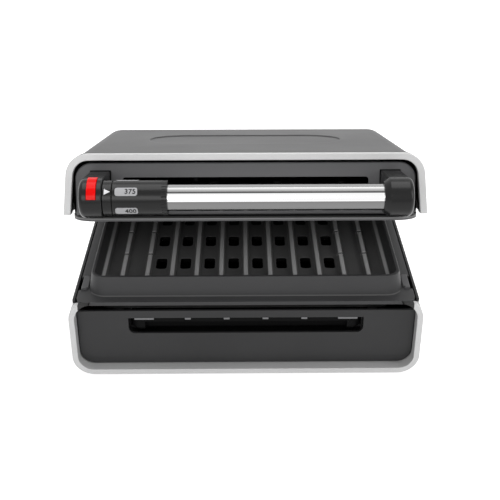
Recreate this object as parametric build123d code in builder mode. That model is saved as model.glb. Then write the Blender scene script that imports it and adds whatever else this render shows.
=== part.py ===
from build123d import *
import os
from math import cos, radians, sin

os.makedirs("parts", exist_ok=True)

# Driving dimensions, in millimetres and degrees. Depths run back from the front plane of the
# base trim, heights run up from the table, and the lid is measured as it lies closed.

# Fits and gaps
running_gap = 0.05          # shaft in its bore, on the radius
seat_gap = 0.3              # between pieces that rest against each other
panel_gap = 0.7             # shadow line round a recessed panel
slide_gap = 0.6             # beside a part that slides

# Base
base_width = 334.0
base_depth = 290.0
foot_height = 4.0
foot_radius = 10.0
foot_side_inset = 32.0
foot_end_inset = 30.0
housing_inset = 3.3         # of the housing's sides, behind the trim
housing_wall = 2.4
housing_corner = 18.0
housing_rear_radius = 12.0
rim_top = 82.0
rear_wall_top = 78.5
ledge_width = 4.5
ledge_thick = 3.0
base_trim_depth = 12.0
base_trim_face = 5.5
base_trim_top = 83.0
base_trim_tip_depth = 5.6   # of the trim's upper ends, in front of the plate
base_trim_round_top = 88.6  # where the curve of the trim's upper ends would close
base_trim_lower_corner = 20.0
base_trim_upper_corner = 22.6
lid_panel_recess = 5.0
base_panel_recess = 10.5
panel_thick = 2.6
base_panel_top = 70.2
base_slot_width = 224.6
base_slot_low = 44.8
base_slot_high = 62.2
base_slot_corner = 6.0
slot_tab_drop = 1.2
wide_tab = 18.0
small_tab = 4.6
wide_tab_x = 97.0
small_tab_pitch = 37.0

# Lower plate
plate_flange_bottom = 79.0
plate_flange_thick = 3.6
plate_front = 6.4
plate_depth = 248.0
plate_corner = 9.0
plate_side_gap = 1.3        # from the flange to the housing's rim
pan_wall_top = 102.0
pan_side_margin = 9.8       # of the flange beside the pan
pan_front = 16.3
pan_depth = 230.7
pan_corner = 17.0
pan_draft = 11.0
pan_rim = 3.0
pan_inner_draft = 25.0
pan_floor = 83.5
rib_pitch = 24.0
rib_count = 11
rib_height = 4.5
rib_foot = 7.6
rib_crest = 3.4
rib_end_gap = 3.6
slot_rows = 3
slot_row_pitch = 46.0
slot_first_row = 77.0
slot_width = 10.6
slot_length = 21.0
slot_corner = 3.2

# Tubular elements
element_radius = 3.25
element_bend = 14.0
element_side = 134.0
element_turn_side = 112.0
element_front = 52.0
element_rear = 207.0
terminal_x = 40.0
terminal_depth = 250.0
support_size = 10.0
support_length = 12.0
support_x = 100.0
reflector_thick = 0.8
reflector_margin = 22.0     # from the flange's edge to the sheet
reflector_front = 24.0
reflector_depth = 218.0
reflector_drop = 3.4        # height of the sheet's turned-down edge
reflector_corner = 8.0
drip_opening_width = 196.0
drip_opening_margin = 14.0  # beyond the outer slot rows
boss_radius = 5.0
boss_x = 124.0
boss_front = 34.0
boss_rear = 232.0
screw_radius = 1.75
screw_head_radius = 3.6
screw_head_height = 2.2
screw_length = 14.0

# Terminal block and safety thermostat
block_width = 40.0
block_depth = 18.0
block_height = 16.0
block_behind = 16.0
wire_radius = 2.4
thermostat_radius = 8.0
thermostat_cap = 1.4
thermostat_behind = 14.0

# Lead opening in the rear wall
grommet_side_inset = 43.7
grommet_height = 30.0
grommet_radius = 7.5
grommet_bore = 4.2
grommet_proud = 2.0          # at the rear, and as much inside
grommet_groove = 1.6

# Drip tray and its rails
tray_width = 222.0
tray_front = 14.0
tray_depth = 196.0
tray_bottom = 45.6
tray_height = 14.6
tray_wall = 1.8
tray_corner = 5.0
tray_plan_corner = 10.0
tray_lip_depth = 9.0
tray_pull_side = 14.0
tray_pull_thick = 4.2
rail_thick = 2.0
rail_foot = 9.0

# Hinge
hinge_depth = 276.0
hinge_height = 66.0
lid_open = 16.9             # opening of the lid in the rest pose
float_travel = 12.0
shaft_radius = 4.0
shaft_length = 222.0
tower_x = 103.0
tower_thick = 8.0
tower_front = 264.0
tower_wall = 3.2
tower_round = 3.0
arm_x = 95.0
arm_thick = 4.0
hub_radius = 8.5
hub_length = 6.4
trough_thick = 2.4
trough_front = 258.0
trough_floor = 54.0
clip_thick = 1.2
clip_radius = 7.0
tower_sweep = 27.0          # clearance round the towers' heads, cut from the lid
arm_bracket_low = 92.0
arm_bracket_top = 103.0
arm_flange_width = 14.0
arm_seat_depth = 2.6        # of the arm's flange in the lid frame's rear wall
arm_screw_inset = 4.0

# Lid
lid_side_inset = 2.4        # of the lid's lower edges, from the base's sides
lid_draft = 5.0
lid_top = 144.5
lid_corner = 20.5
lid_trim_bottom = 89.2
lid_trim_depth = 12.0
lid_trim_face = 6.1
lid_depth = 268.0
cover_inset = 1.2
cover_wall = 2.4
cover_bottom = 88.0
cover_rear_corner = 24.0
recess_width = 196.0
recess_front = 96.0
recess_depth = 84.0
recess_sink = 0.9
recess_corner = 38.0
lid_panel_side_gap = 4.9    # to the trim, at its foot
lid_panel_top = 135.6
lid_panel_corner = 15.0
lid_slot_width = 222.2
lid_slot_low = 105.6
lid_slot_high = 122.6
frame_side_gap = 2.6        # to the cover, at its foot
frame_front = 0.4
frame_rear = 262.0
frame_bottom = 83.0
frame_lip_top = 87.4
frame_top = 104.2
frame_corner = 22.0
frame_ring = 5.1
frame_opening_front = 14.0
frame_opening_rear = 255.0
frame_wall_front = 8.2
pad_width = 24.0
pad_thick = 3.6

# Upper plate
upper_flange_seat = 2.2     # of the flange on the frame, at its sides
upper_flange_front = 12.1
upper_flange_rear = 257.0
upper_flange_thick = 3.2
upper_face = 93.3
upper_wall = 4.0
upper_front = 30.0
upper_rear = 228.0
upper_side_gap = 13.2       # to the pan's foot
upper_corner = 12.0
upper_draft = 22.0
upper_loop_front = 28.0     # from the plate's face edge to the element's front run
upper_loop_rear = 44.0
upper_terminal_inset = 24.0
upper_loop_side = 12.0
cover_sheet_lap = 7.0
ridge_pitch = 62.0
ridge_count = 4
ridge_width = 9.0
ridge_height = 1.6
ridge_end = 30.0

# Handle
handle_depth = -42.0
handle_height = 111.6
post_radius = 16.9
left_post_outer = -141.3
left_post_inner = -121.6
right_post_inner = 117.5
right_post_outer = 142.4
post_round = 4.5
post_neck_radius = 13.2     # where the right post narrows to the tube
post_neck_length = 5.0
arm_width = 18.0
arm_bevel = 0.8
left_arm_centre = -130.5
right_arm_centre = 130.5
arm_low = 96.5
arm_top = 128.5
arm_opening_gap = 0.5
arm_screw_drop = 10.0
pad_rise = 1.5              # of the frame's pads above the arms
arm_screw_pitch = 11.0
core_radius = 5.0
core_seat = 2.5
tube_radius = 11.3
tube_wall = 1.2
tube_left = -75.5
tube_socket = 3.0
dial_radius = 15.0
dial_right = -66.5
dial_web = 4.5
collar_length = 7.9
grip_flutes = 30
flute_radius = 0.5
flute_length = 4.6
post_cavity_radius = 12.8
post_cavity_depth = 14.8
lens_left = -133.9
lens_right = -126.1
lens_from = 4.0
lens_to = 96.0
lens_proud = 0.9
lens_thick = 2.0

# Control board and probe
board_height = 116.0
board_x_out = 128.0
board_length = 84.0
board_width = 52.0
board_front = 70.0
probe_depth = 129.0
board_thick = 1.6
board_offset = 8.4          # of the indicator board, in front of the handle's axis
lamp_size = 5.0
sensor_inset = 0.6
sensor_thick = 1.6
bush_length = 8.0
upper_support_x = 80.0

# Plate latches
latch_length = 23.0
latch_front = 29.0
latch_travel = 2.0
latch_nose = 1.5
latch_cap = 1.9
latch_block = 5.4
latch_relief = 2.4          # in the lid frame, over the lower plate's latches
upper_latch_front = 62.0
upper_latch_block = 1.7
spring_radius = 2.4

# Places worked out from the dimensions above
turn = radians(lid_open)
housing_width = base_width - 2 * housing_inset
lid_low_width = base_width - 2 * lid_side_inset
lid_panel_width = lid_low_width - 2 * (lid_trim_face + lid_panel_side_gap)
frame_width = lid_low_width - 2 * (cover_inset + cover_wall + frame_side_gap)
frame_opening_width = frame_width - 2 * frame_ring
upper_flange_width = frame_opening_width + 2 * upper_flange_seat
grommet_x = housing_width / 2 - grommet_side_inset
arm_screw_height = arm_top - arm_screw_drop
pad_top = arm_top + pad_rise
handle_front = (hinge_depth + cos(turn) * (handle_depth - hinge_depth)
                + sin(turn) * (handle_height - hinge_height) - post_radius)
front_y = -(base_depth + grommet_proud + handle_front) / 2
hinge_y = front_y + hinge_depth
hinge_axis = Axis((0, hinge_y, hinge_height), (1, 0, 0))
plate_flange_top = plate_flange_bottom + plate_flange_thick
housing_inside = housing_width / 2 - housing_wall
plate_half = housing_inside - plate_side_gap
pan_width = 2 * (plate_half - pan_side_margin)
upper_width = pan_width - 2 * upper_side_gap
reflector_width = 2 * (plate_half - reflector_margin)
slot_rows_y = [front_y + slot_first_row + row * slot_row_pitch for row in range(slot_rows)]
slot_columns_x = [(column - (rib_count - 4) / 2) * rib_pitch for column in range(rib_count - 3)]
rib_x = [(rib - (rib_count - 1) / 2) * rib_pitch for rib in range(rib_count)]
element_height = plate_flange_bottom - seat_gap - element_radius
reflector_top = element_height - element_radius - 4.0
housing_floor = foot_height + housing_wall
upper_back = upper_face + upper_wall
upper_flange_bottom = frame_top + seat_gap
upper_flange_top = upper_flange_bottom + upper_flange_thick
upper_element_height = upper_back + seat_gap + element_radius
upper_reflector_bottom = upper_flange_top + seat_gap
loop_front = upper_front + upper_loop_front
loop_rear = upper_rear - upper_loop_rear
cover_top = lid_top - cover_inset
handle_y = front_y + handle_depth
tube_right = right_post_inner + tube_socket - seat_gap
collar_right = left_post_inner + seat_gap + collar_length
dial_left = collar_right + seat_gap
lens_middle = (lens_left + lens_right) / 2
arm_screw_x = arm_x - arm_flange_width + arm_screw_inset
arm_flange_height = (arm_bracket_low + arm_bracket_top) / 2
latch_relief_in = plate_half - latch_block - latch_travel - 2 * seat_gap


def across(depth):
    """Upright plane across the object, at a depth behind the front plane, facing forwards."""
    return Plane.XZ.offset(-(front_y + depth))


def level(height):
    return Plane.XY.offset(height)


def along(x):
    """Upright plane that runs front to rear, with its own x along +Y and its y up."""
    return Plane.YZ.offset(x)


def save(builder, node):
    builder.part.label = node
    export_step(builder.part, f"parts/{node}.step")


def save_on_lid(builder, node):
    """The lid's pieces are modelled closed, then turned up about the hinge shaft."""
    builder.part = builder.part.rotate(hinge_axis, -lid_open)
    save(builder, node)


def plan(width, front, rear, corner):
    """Rounded rectangle seen from above, between two depths."""
    with Locations((0, front_y + (front + rear) / 2)):
        RectangleRounded(width, rear - front, corner)


def plan_box(x_low, x_high, front, rear):
    with Locations(((x_low + x_high) / 2, front_y + (front + rear) / 2)):
        Rectangle(x_high - x_low, rear - front)


def ring(outer, inner=0):
    """Ring or disc about the handle's axis."""
    with Locations((handle_y, handle_height)):
        Circle(outer)
        if inner:
            Circle(inner, mode=Mode.SUBTRACT)


def ring_slice(outer, inner, low, high):
    """Slice of such a ring, between two angles above its front."""
    reach = 2 * outer
    ends = [(handle_y - reach * cos(radians(angle)), handle_height + reach * sin(radians(angle)))
            for angle in (low, (low + high) / 2, high)]
    ring(outer, inner)
    Polygon((handle_y, handle_height), *ends, align=None, mode=Mode.INTERSECT)


def arm_profile():
    """Side outline of the arm that runs from a handle post's axis back into the lid."""
    arm_back = front_y + frame_wall_front - seat_gap
    with Locations(((handle_y + arm_back) / 2, (arm_low + arm_top) / 2)):
        Rectangle(arm_back - handle_y, arm_top - arm_low)


def screw_pair(arm_centre, radius):
    with Locations((arm_centre, arm_screw_height)):
        with GridLocations(1, arm_screw_pitch, 1, 2):
            Circle(radius)


def base_outline(inset):
    """Front outline of the base: rounded below and drawn in towards its top."""
    with Locations((0, (foot_height + base_trim_round_top) / 2)):
        Rectangle(base_width - 2 * inset, base_trim_round_top - foot_height - 2 * inset)
    corners = vertices().group_by(Axis.Y)
    fillet(corners[0], base_trim_lower_corner - inset)
    fillet(vertices().group_by(Axis.Y)[-1], base_trim_upper_corner - inset)


def lid_outline(inset, bottom, corner):
    """Front outline of the closed lid: sides that lean in and a rounded top."""
    lean = (lid_top - lid_trim_bottom) * sin(radians(lid_draft)) / cos(radians(lid_draft))
    below = (lid_trim_bottom - bottom) / (lid_top - lid_trim_bottom) * lean
    half_low = lid_low_width / 2 - inset + below
    half_high = lid_low_width / 2 - inset - lean
    Polygon((-half_low, bottom), (half_low, bottom), (half_high, lid_top - inset),
            (-half_high, lid_top - inset), align=None)
    fillet(vertices().group_by(Axis.Y)[-1], corner)


# Base housing: a moulded tub with a ledge for the plate
with BuildPart() as base_housing:
    with BuildSketch(across(base_trim_depth + seat_gap)):
        with Locations((0, (foot_height + rim_top) / 2)):
            Rectangle(housing_width, rim_top - foot_height)
        fillet(vertices().group_by(Axis.Y)[0], housing_corner)
    extrude(amount=-(base_depth - base_trim_depth - seat_gap))
    rear_edges = faces().sort_by(Axis.Y)[-1].edges().filter_by(Axis.Z)
    fillet(rear_edges, housing_rear_radius)
    open_faces = [faces().sort_by(Axis.Z)[-1], faces().sort_by(Axis.Y)[0]]
    offset(amount=-housing_wall, openings=open_faces)
    with BuildSketch(level(rear_wall_top)):
        plan_box(-housing_width, housing_width, hinge_depth - hub_radius * 2, base_depth + 1)
    extrude(amount=rim_top, mode=Mode.SUBTRACT)
    with BuildSketch(level(plate_flange_bottom - seat_gap)):
        for side in (-1, 1):
            wall_x = side * (housing_inside - ledge_width / 2)
            plan_box(wall_x - ledge_width / 2, wall_x + ledge_width / 2,
                     latch_front + latch_length + 6, trough_front - 6)
    extrude(amount=-ledge_thick)
    for side in (-1, 1):
        with BuildSketch(level(trough_floor + 2)):
            plan_box(side * arm_x - hub_length / 2 - slide_gap, side * arm_x + hub_length / 2 + slide_gap,
                     hinge_depth, base_depth + 1)
        extrude(amount=rim_top, mode=Mode.SUBTRACT)
    with BuildSketch(across(base_depth + 1)):
        with Locations((grommet_x, grommet_height)):
            Circle(grommet_radius - grommet_groove + running_gap)
    extrude(amount=2 * housing_wall, mode=Mode.SUBTRACT)
save(base_housing, "base_housing")

# Bosses: four posts on the housing's floor that carry the reflector
with BuildPart() as housing_bosses:
    with BuildSketch(level(housing_floor)):
        with Locations(*[(x, front_y + depth) for x in (-boss_x, boss_x)
                         for depth in (boss_front, boss_rear)]):
            Circle(boss_radius)
    extrude(amount=reflector_top - reflector_thick - seat_gap - housing_floor)
    with Locations(*[(x, front_y + depth, reflector_top - reflector_thick) for x in (-boss_x, boss_x)
                     for depth in (boss_front, boss_rear)]):
        Hole(screw_radius + running_gap, depth=screw_length + 2)
save(housing_bosses, "housing_bosses")

# Hinge towers: two slotted posts inside the rear wall, in which the shaft can rise
with BuildPart() as hinge_towers:
    for bottom, rear in ((housing_floor, base_depth - housing_rear_radius),
                         (foot_height + housing_rear_radius, base_depth - housing_wall)):
        with BuildSketch(level(bottom)):
            for side in (-1, 1):
                plan_box(side * tower_x - tower_thick / 2, side * tower_x + tower_thick / 2, tower_front, rear)
        extrude(amount=hinge_height + float_travel + shaft_radius + tower_wall - bottom)
    fillet(edges().filter_by(Axis.X).group_by(Axis.Z)[-1], tower_round)
    with BuildSketch(along(-tower_x - tower_thick)):
        with Locations((hinge_y, hinge_height + float_travel / 2)):
            SlotCenterToCenter(float_travel, 2 * (shaft_radius + 2 * running_gap), rotation=90)
    extrude(amount=2 * (tower_x + tower_thick), mode=Mode.SUBTRACT)
save(hinge_towers, "hinge_towers")

# Front panel: recessed behind the trim, with the drip tray's slot and the tabs that guide it
with BuildPart() as base_front_panel:
    with BuildSketch(across(base_panel_recess)):
        base_outline(base_trim_face + panel_gap)
        with Locations((0, base_panel_top + base_width / 2)):
            Rectangle(base_width, base_width, mode=Mode.SUBTRACT)
        with BuildSketch(mode=Mode.SUBTRACT):
            with Locations((0, (base_slot_low + base_slot_high) / 2)):
                Rectangle(base_slot_width, base_slot_high - base_slot_low)
            fillet(vertices().group_by(Axis.Y)[0], base_slot_corner)
    extrude(amount=-panel_thick)
    with BuildSketch(across(base_panel_recess)):
        with Locations(*[(x, base_slot_high - slot_tab_drop / 2) for x in (-wide_tab_x, wide_tab_x)]):
            Rectangle(wide_tab, slot_tab_drop)
        with Locations((0, base_slot_high - slot_tab_drop / 2)):
            with GridLocations(small_tab_pitch, 1, 4, 1):
                Rectangle(small_tab, slot_tab_drop)
    extrude(amount=-panel_thick)
    chamfer(faces().sort_by(Axis.Y)[0].outer_wire().edges(), 0.5)
save(base_front_panel, "base_front_panel")

# Trim: a bright U-shaped frame round the front of the base
with BuildPart() as base_trim:
    with BuildSketch(across(0)):
        base_outline(0)
        with BuildSketch(mode=Mode.SUBTRACT):
            base_outline(base_trim_face)
        with Locations((0, base_trim_top + base_width / 2)):
            Rectangle(base_width, base_width, mode=Mode.SUBTRACT)
    extrude(amount=-base_trim_depth)
    with BuildSketch(across(base_trim_tip_depth)):
        with Locations((0, plate_flange_bottom - seat_gap + base_width / 2)):
            Rectangle(base_width, base_width)
    extrude(amount=-base_trim_depth, mode=Mode.SUBTRACT)
    chamfer(faces().sort_by(Axis.Y)[0].edges(), 0.4)
save(base_trim, "base_trim")

# Feet: rubber pads, each with a rounded rim
with BuildPart() as rubber_feet:
    foot_half = base_width / 2 - foot_side_inset
    with BuildSketch(level(0)):
        with Locations(*[(x, front_y + depth) for x in (-foot_half, foot_half)
                         for depth in (foot_end_inset, base_depth - foot_end_inset)]):
            Circle(foot_radius)
    extrude(amount=foot_height)
    chamfer(faces().group_by(Axis.Z)[0].edges(), 1)
save(rubber_feet, "rubber_feet")

# Lower plate: a cast pan with a raised wall, grill ribs and rows of drain slots
with BuildPart() as lower_plate:
    with BuildSketch(level(plate_flange_bottom)):
        plan(2 * plate_half, plate_front, plate_front + plate_depth, plate_corner)
    extrude(amount=plate_flange_thick)
    with BuildSketch(level(plate_flange_top)):
        plan(pan_width, pan_front, pan_front + pan_depth, pan_corner)
    extrude(amount=pan_wall_top - plate_flange_top, taper=pan_draft)
    fillet(faces().sort_by(Axis.Z)[-1].edges(), 0.9)
    lean = (pan_wall_top - plate_flange_top) * sin(radians(pan_draft)) / cos(radians(pan_draft)) + pan_rim
    with BuildSketch(level(pan_wall_top)):
        plan(pan_width - 2 * lean, pan_front + lean, pan_front + pan_depth - lean, pan_corner - lean)
    extrude(amount=-(pan_wall_top - pan_floor), taper=pan_inner_draft, mode=Mode.SUBTRACT)
    inner_lean = lean + (pan_wall_top - pan_floor) * sin(radians(pan_inner_draft)) / cos(radians(pan_inner_draft))
    rib_front = pan_front + inner_lean
    rib_rear = pan_front + pan_depth - inner_lean
    with BuildSketch(across(rib_front)):
        for x in rib_x:
            with BuildLine():
                Polyline((x - rib_foot / 2, pan_floor), (x - rib_crest / 2, pan_floor + rib_height),
                         (x + rib_crest / 2, pan_floor + rib_height), (x + rib_foot / 2, pan_floor), close=True)
            make_face()
    extrude(amount=-(rib_rear - rib_front))
    with BuildSketch(level(pan_floor)):
        for x in rib_x[:2] + rib_x[-2:]:
            for row_y in slot_rows_y:
                with Locations((x, row_y + (slot_length + rib_end_gap) / 2)):
                    Rectangle(rib_foot + 1, rib_end_gap)
    extrude(amount=rib_height + 1, mode=Mode.SUBTRACT)
    with BuildSketch(level(pan_floor)):
        with Locations(*[(x, row_y) for x in slot_columns_x for row_y in slot_rows_y]):
            RectangleRounded(slot_width, slot_length, slot_corner)
    extrude(amount=-(pan_floor - plate_flange_bottom), mode=Mode.SUBTRACT)
    with BuildSketch(level(plate_flange_bottom)):
        notch_in = plate_half - latch_block - latch_travel - 2 * seat_gap
        for side in (-1, 1):
            plan_box(side * (notch_in + plate_half) / 2 - (plate_half - notch_in) / 2,
                     side * (notch_in + plate_half) / 2 + (plate_half - notch_in) / 2,
                     latch_front - slide_gap, latch_front + latch_length + slide_gap)
    extrude(amount=plate_flange_thick, mode=Mode.SUBTRACT)
save(lower_plate, "lower_plate")

# Lower element: one sheathed tube that winds between the rows of drain slots
with BuildPart() as lower_element:
    band_1 = slot_first_row + slot_row_pitch / 2
    band_2 = band_1 + slot_row_pitch
    route = [(-terminal_x, terminal_depth), (-terminal_x, element_rear), (-element_side, element_rear),
             (-element_side, band_2), (element_turn_side, band_2), (element_turn_side, band_1),
             (-element_side, band_1), (-element_side, element_front), (element_side, element_front),
             (element_side, element_rear), (terminal_x, element_rear), (terminal_x, terminal_depth)]
    with BuildLine() as element_path:
        FilletPolyline(*[(x, front_y + depth, element_height) for x, depth in route], radius=element_bend)
    with BuildSketch(element_path.line ^ 0):
        Circle(element_radius)
    sweep()
save(lower_element, "lower_element")

# Reflector: a turned-down steel sheet, open under the drain slots
with BuildPart() as lower_reflector:
    with BuildSketch(level(reflector_top)):
        plan(reflector_width, reflector_front, reflector_front + reflector_depth, reflector_corner)
    extrude(amount=-reflector_drop)
    offset(amount=-reflector_thick, openings=faces().sort_by(Axis.Z)[0])
    with BuildSketch(level(reflector_top)):
        plan(drip_opening_width, slot_first_row - drip_opening_margin,
             slot_first_row + (slot_rows - 1) * slot_row_pitch + drip_opening_margin, reflector_corner)
        with Locations(*[(x, front_y + depth) for x in (-boss_x, boss_x)
                         for depth in (boss_front, boss_rear)]):
            Circle(screw_radius + running_gap * 2)
    extrude(amount=-reflector_drop, mode=Mode.SUBTRACT)
save(lower_reflector, "lower_reflector")

# Supports: ceramic saddles that carry the element over the reflector
with BuildPart() as lower_supports:
    saddle_places = [(x, front_y + depth) for x in (-support_x, support_x)
                     for depth in (element_front, element_rear)]
    with BuildSketch(level(reflector_top)):
        with Locations(*saddle_places):
            Rectangle(support_size, support_length)
    extrude(amount=element_height - reflector_top)
    for x, y in saddle_places:
        with BuildSketch(along(x - support_size)):
            with Locations((y, element_height)):
                Circle(element_radius + running_gap)
        extrude(amount=2 * support_size, mode=Mode.SUBTRACT)
save(lower_supports, "lower_supports")

# Screws that hold the reflector to the housing's bosses
with BuildPart() as base_screws:
    with BuildSketch(level(reflector_top)):
        with Locations(*[(x, front_y + depth) for x in (-boss_x, boss_x)
                         for depth in (boss_front, boss_rear)]):
            Circle(screw_head_radius)
    extrude(amount=screw_head_height)
    chamfer(faces().group_by(Axis.Z)[-1].edges(), 0.9)
    with BuildSketch(level(reflector_top)):
        with Locations(*[(x, front_y + depth) for x in (-boss_x, boss_x)
                         for depth in (boss_front, boss_rear)]):
            Circle(screw_radius)
    extrude(amount=-screw_length)
save(base_screws, "base_screws")

# Drip tray: a shallow drawer with a pull lip, open on top
with BuildPart() as drip_tray:
    with BuildSketch(level(tray_bottom)):
        plan(tray_width, tray_front, tray_front + tray_depth, tray_plan_corner)
    extrude(amount=tray_height)
    fillet(faces().sort_by(Axis.Z)[0].edges(), tray_corner)
    with BuildSketch(level(tray_bottom + tray_wall)):
        plan(tray_width - 2 * tray_wall, tray_front + tray_lip_depth,
             tray_front + tray_depth - tray_wall, tray_plan_corner - tray_wall)
    extrude(amount=tray_height, mode=Mode.SUBTRACT)
    with BuildSketch(level(tray_bottom)):
        plan_box(-tray_width / 2 + tray_pull_side, tray_width / 2 - tray_pull_side,
                 tray_front, tray_front + tray_lip_depth - tray_wall)
    extrude(amount=tray_height - tray_pull_thick, mode=Mode.SUBTRACT)
save(drip_tray, "drip_tray")

# Rails: angle strips that carry the tray's long edges
with BuildPart() as tray_rails:
    for side in (-1, 1):
        with BuildSketch(across(tray_front + tray_lip_depth)):
            inner_x = side * (tray_width / 2 - rail_foot)
            wall_x = side * (tray_width / 2 + slide_gap)
            outer_x = side * (tray_width / 2 + slide_gap + rail_thick)
            with BuildLine():
                Polyline((inner_x, tray_bottom - seat_gap), (wall_x, tray_bottom - seat_gap),
                         (wall_x, tray_bottom + tray_height), (outer_x, tray_bottom + tray_height),
                         (outer_x, housing_floor + seat_gap), (wall_x, housing_floor + seat_gap),
                         (wall_x, tray_bottom - seat_gap - rail_thick),
                         (inner_x, tray_bottom - seat_gap - rail_thick), close=True)
            make_face()
        extrude(amount=-(tray_depth - tray_lip_depth + 2))
save(tray_rails, "tray_rails")

# Trough: closes the base behind the plate, below the hinge shaft
with BuildPart() as hinge_trough:
    trough_half = housing_inside - slide_gap
    trough_rear = base_depth - housing_wall - slide_gap
    with BuildSketch(along(-trough_half)):
        with BuildLine():
            Polyline((front_y + trough_front, rear_wall_top), (front_y + trough_front, trough_floor),
                     (front_y + trough_rear, trough_floor),
                     (front_y + trough_rear, trough_floor - trough_thick),
                     (front_y + trough_front - trough_thick, trough_floor - trough_thick),
                     (front_y + trough_front - trough_thick, rear_wall_top), close=True)
        make_face()
    extrude(amount=2 * trough_half)
    with BuildSketch(level(trough_floor - trough_thick)):
        for side in (-1, 1):
            plan_box(side * tower_x - tower_thick / 2 - seat_gap, side * tower_x + tower_thick / 2 + seat_gap,
                     tower_front - seat_gap, base_depth)
    extrude(amount=trough_thick, mode=Mode.SUBTRACT)
    rear_corners = edges().filter_by(Axis.Z).group_by(Axis.Y)[-1].sort_by(Axis.X)
    chamfer([rear_corners[0], rear_corners[-1]], housing_rear_radius / 2)
save(hinge_trough, "hinge_trough")

# Hinge shaft with its retaining rings: it rises in the towers' slots when thick food lifts the lid
with BuildPart() as hinge_shaft:
    with BuildSketch(along(-shaft_length / 2)):
        with Locations((hinge_y, hinge_height)):
            Circle(shaft_radius)
    extrude(amount=shaft_length)
    chamfer(edges().filter_by(GeomType.CIRCLE), 0.6)
save(hinge_shaft, "hinge_shaft")

with BuildPart() as shaft_rings:
    for side in (-1, 1):
        ring_x = side * (tower_x + tower_thick / 2 + slide_gap + clip_thick / 2)
        with BuildSketch(along(ring_x - clip_thick / 2)):
            with Locations((hinge_y, hinge_height)):
                Circle(clip_radius)
                Circle(shaft_radius + running_gap, mode=Mode.SUBTRACT)
        extrude(amount=clip_thick)
save(shaft_rings, "shaft_rings")

# Latches: sliding catches whose noses hold the lower plate's flange down
latch_stem = latch_block * 0.6
for side, hand in ((-1, "left"), (1, "right")):
    block_in = plate_half - latch_block - latch_travel - seat_gap
    with BuildPart() as latch:
        with BuildSketch(level(plate_flange_bottom)):
            plan_box(*sorted((side * block_in, side * (block_in + latch_block))),
                     latch_front, latch_front + latch_length)
        extrude(amount=plate_flange_thick + latch_cap)
        with BuildSketch(level(plate_flange_top + seat_gap)):
            plan_box(*sorted((side * (block_in - latch_nose), side * block_in)),
                     latch_front + 2, latch_front + latch_length - 2)
        extrude(amount=latch_cap - seat_gap)
        with BuildSketch(level(plate_flange_bottom)):
            plan_box(*sorted((side * block_in, side * (block_in + latch_stem))),
                     latch_front + 4, latch_front + latch_length - 4)
        extrude(amount=-latch_length / 2)
        fillet(faces().sort_by(Axis.Z)[-1].outer_wire().edges().filter_by(Axis.Y), 0.8)
    save(latch, f"lower_latch_{hand}")

# Springs that draw the lower latches inwards, each hooked to a post of the reflector's edge
with BuildPart() as lower_latch_springs:
    for side in (-1, 1):
        spring_x = side * (plate_half - latch_block - latch_travel - 2 * seat_gap)
        with BuildSketch(along(spring_x)):
            with Locations((front_y + latch_front + latch_length / 2, reflector_top + 1)):
                Circle(spring_radius)
                Circle(spring_radius / 2, mode=Mode.SUBTRACT)
        extrude(amount=-side * (abs(spring_x) - reflector_width / 2 - seat_gap))
save(lower_latch_springs, "lower_latch_springs")

# Terminal block and safety thermostat of the base
with BuildPart() as terminal_block:
    block_front = trough_front - block_behind - block_depth
    with BuildSketch(level(housing_floor + seat_gap)):
        plan_box(-block_width / 2, block_width / 2, block_front, block_front + block_depth)
    extrude(amount=block_height)
    with BuildSketch(across(block_front)):
        with Locations((0, housing_floor + seat_gap + block_height / 2)):
            with GridLocations(block_width / 3.3, 1, 3, 1):
                Circle(wire_radius)
    extrude(amount=-block_depth, mode=Mode.SUBTRACT)
    chamfer(faces().sort_by(Axis.Z)[-1].edges(), 1)
save(terminal_block, "terminal_block")

with BuildPart() as safety_thermostat:
    thermostat_top = plate_flange_bottom - seat_gap
    with BuildSketch(level(thermostat_top)):
        with Locations((0, front_y + element_rear + thermostat_behind)):
            Circle(thermostat_radius)
    extrude(amount=-thermostat_cap)
    with BuildSketch(level(thermostat_top - thermostat_cap)):
        with Locations((0, front_y + element_rear + thermostat_behind)):
            Circle(thermostat_radius - thermostat_cap)
    extrude(amount=-(thermostat_top - thermostat_cap - reflector_top - seat_gap))
save(safety_thermostat, "safety_thermostat")

# Grommet: the lead's opening in the rear wall
with BuildPart() as cord_grommet:
    grommet_length = housing_wall + 2 * grommet_proud
    with BuildSketch(across(base_depth + grommet_proud)):
        with Locations((grommet_x, grommet_height)):
            Circle(grommet_radius)
    extrude(amount=grommet_length)
    with BuildSketch(across(base_depth)):
        with Locations((grommet_x, grommet_height)):
            Circle(grommet_radius + 1)
            Circle(grommet_radius - grommet_groove, mode=Mode.SUBTRACT)
    extrude(amount=housing_wall, mode=Mode.SUBTRACT)
    with BuildSketch(across(base_depth + grommet_proud)):
        with Locations((grommet_x, grommet_height)):
            Circle(grommet_bore)
    extrude(amount=grommet_length, mode=Mode.SUBTRACT)
save(cord_grommet, "cord_grommet")

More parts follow.
